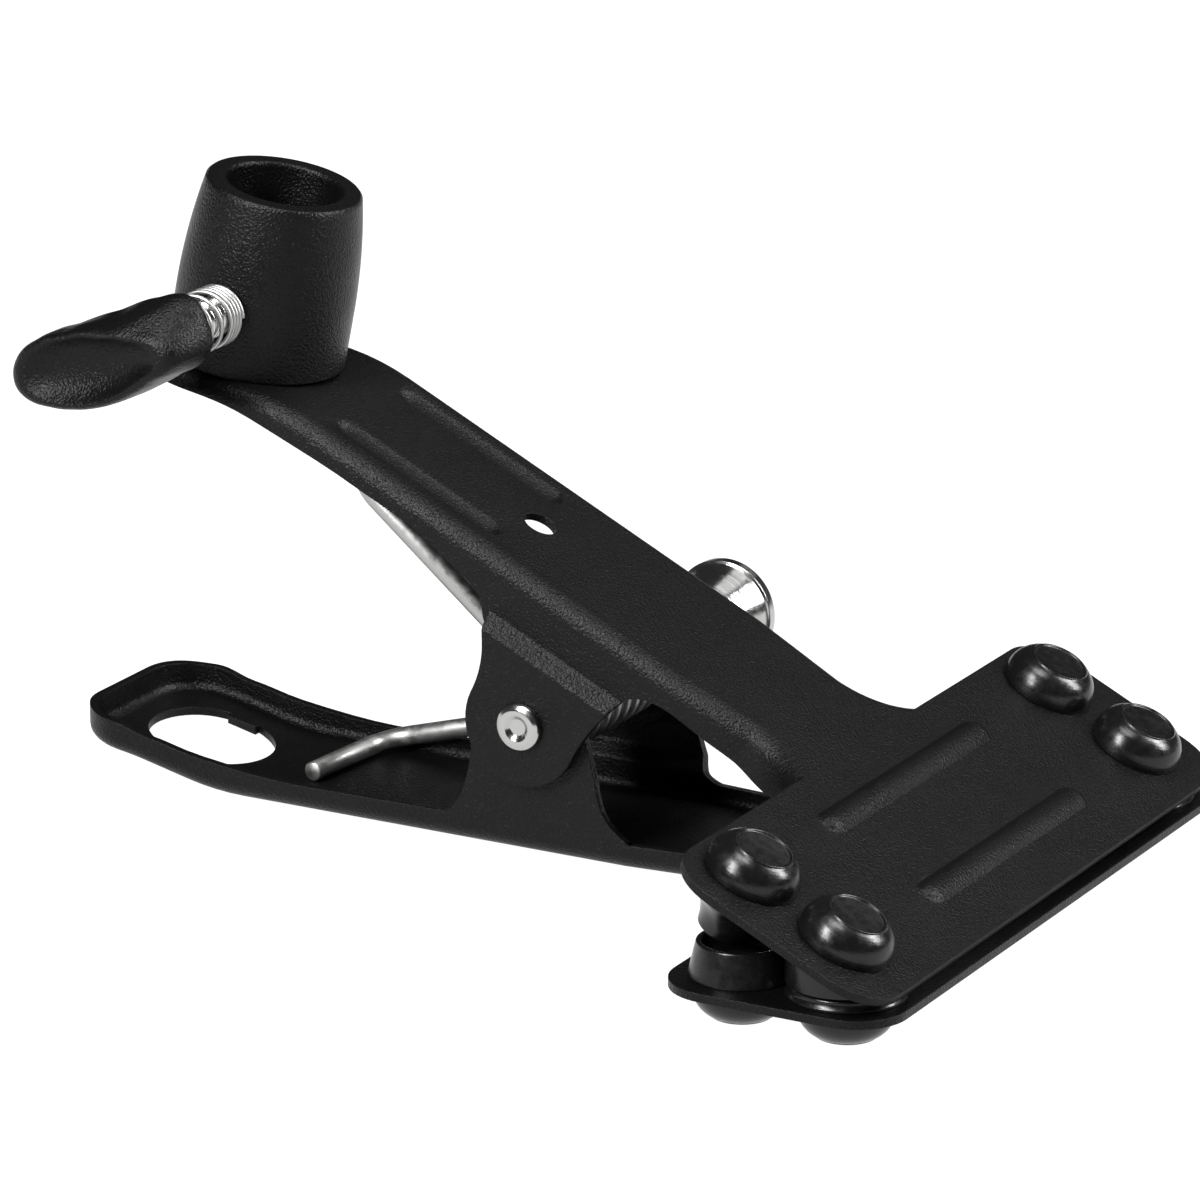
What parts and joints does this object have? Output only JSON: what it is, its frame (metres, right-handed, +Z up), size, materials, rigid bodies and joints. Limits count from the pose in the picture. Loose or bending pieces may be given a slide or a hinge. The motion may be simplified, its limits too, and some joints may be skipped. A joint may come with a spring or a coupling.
{
  "type": "spring clamp with stud and socket",
  "caption": "Pressed-steel spring clamp with wide padded jaws, a side stud at the pivot and a socket with a wing lock on its upper handle.",
  "frame": {"origin": "centre of the bounding box on the surface the clamp lies on", "axes": "+X towards the jaws, +Y out along the stud, +Z up with the clamp lying on its lower jaw and handle"},
  "size_m": [0.1532, 0.1152, 0.0894],
  "materials": {
    "black_powder": "fine textured powder coat",
    "cast_black": "textured coat on a die casting",
    "turned_steel": "turned, bright",
    "spring_wire": "drawn wire, satin",
    "plated_steel": "zinc plated",
    "pad_rubber": "moulded, glossy"
  },
  "bodies": {
    "lower": {"lower_arm": "black_powder", "pivot_stud": "turned_steel", "pivot_sleeve": "plated_steel", "near_ear_washer": "plated_steel", "far_ear_washer": "plated_steel", "torsion_spring": "spring_wire", "lower_pad_rear_near": "pad_rubber", "lower_pad_rear_far": "pad_rubber", "lower_pad_front_near": "pad_rubber", "lower_pad_front_far": "pad_rubber"},
    "upper": {"upper_arm": "black_powder", "socket": "cast_black", "socket_screw": "plated_steel", "socket_washer": "plated_steel", "upper_pad_rear_near": "pad_rubber", "upper_pad_rear_far": "pad_rubber", "upper_pad_front_near": "pad_rubber", "upper_pad_front_far": "pad_rubber"},
    "lock_slider": {"lock_spring": "spring_wire"},
    "wing": {"wing_knob": "cast_black", "lock_screw": "plated_steel"}
  },
  "joints": [
    {"name": "jaw_pivot", "type": "hinge", "parent": "lower", "child": "upper", "pos_m": [-0.00008, 0, 0.02187], "axis": [0, -1, 0], "range_deg": [0, 36], "stiffness_Nm_per_rad": 2, "springref_deg": -51.57, "deforming": ["torsion_spring"]},
    {"name": "screw_travel", "type": "slide", "parent": "upper", "child": "lock_slider", "axis": [0, 1, 0], "range_m": [0, 0.00351], "deforming": ["lock_spring"]},
    {"name": "knob_turn", "type": "hinge", "parent": "lock_slider", "child": "wing", "pos_m": [-0.05388, -0.0243, 0.07112], "axis": [0, 1, 0], "range_deg": [0, 1260]}
  ],
  "couplings": [
    {"joint": "screw_travel", "follows": "knob_turn", "m_per_rad": 0.00015915}
  ]
}
